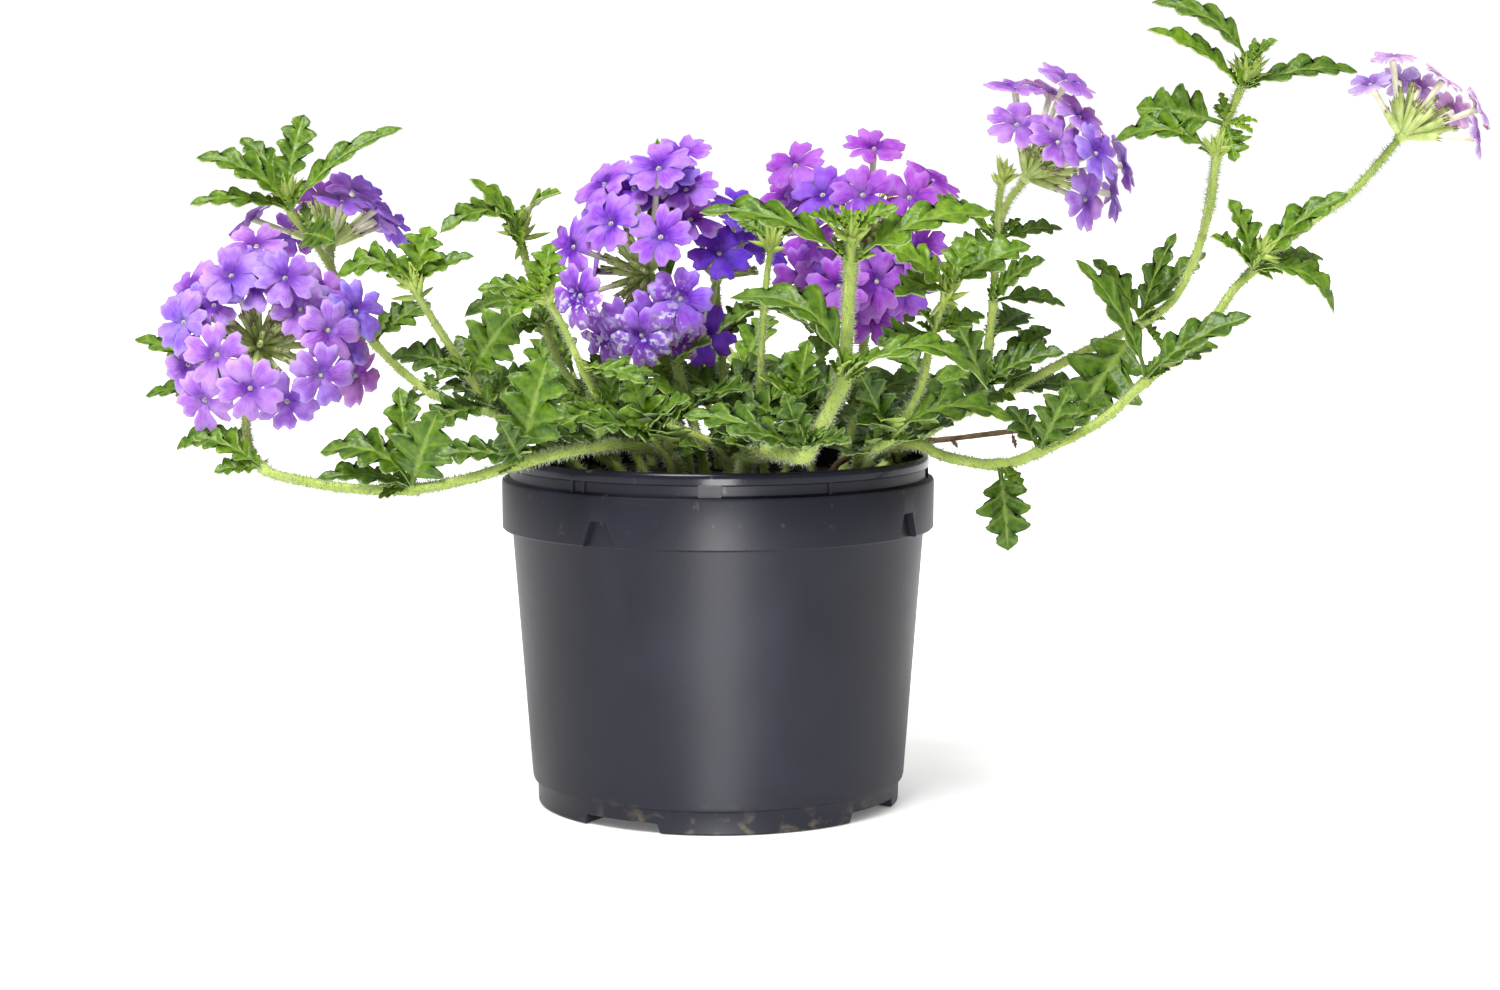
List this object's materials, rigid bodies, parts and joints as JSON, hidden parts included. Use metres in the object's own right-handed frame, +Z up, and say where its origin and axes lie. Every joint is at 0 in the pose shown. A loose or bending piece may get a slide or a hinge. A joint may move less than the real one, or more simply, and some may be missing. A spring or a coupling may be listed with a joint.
{
  "type": "potted verbena",
  "caption": "Trailing verbena with violet flower heads and lobed leaves on long stems, in a plain black round nursery pot of soil.",
  "frame": {"origin": "centre of the pot's flat underside", "axes": "+Z up, +X to the right along the longest reach of the trailing stems, front towards -Y"},
  "size_m": [0.4059, 0.2201, 0.2401],
  "materials": {
    "pot_plastic": "satin moulded black plastic with soil dust at the foot",
    "soil": "dark crumbly potting soil",
    "foliage": "soft hairy green leaf and stem",
    "dry_stalk": "dry brown stalk",
    "petals_violet": "soft violet petals with a darker throat",
    "petals_blue": "deep blue violet petals",
    "petals_pale": "pale lavender petals with darker tips"
  },
  "bodies": {
    "root": {"pot": "pot_plastic", "soil": "soil", "left_runner": "foliage", "left_back_shoot": "foliage", "left_shoot": "foliage", "tall_left_shoot": "foliage", "front_left_shoot": "foliage", "middle_flower_stem": "foliage", "blue_flower_stem": "foliage", "slim_stem": "foliage", "front_upright": "foliage", "front_right_shoot": "foliage", "right_flower_stem": "foliage", "long_right_stem": "foliage", "low_right_stem": "foliage", "magenta_flower_stem": "foliage", "middle_shoot_1": "foliage", "middle_shoot_2": "foliage", "middle_shoot_3": "foliage", "middle_shoot_4": "foliage", "middle_shoot_5": "foliage", "middle_shoot_6": "foliage", "back_shoot_left": "foliage", "back_shoot_middle": "foliage", "back_shoot_right": "foliage", "dry_stalk": "dry_stalk", "left_round_head": "petals_violet", "far_left_head": "petals_violet", "middle_head": "petals_violet", "blue_head": "petals_blue", "magenta_head": "petals_violet", "right_head": "petals_violet", "far_right_head": "petals_pale"}
  },
  "joints": []
}
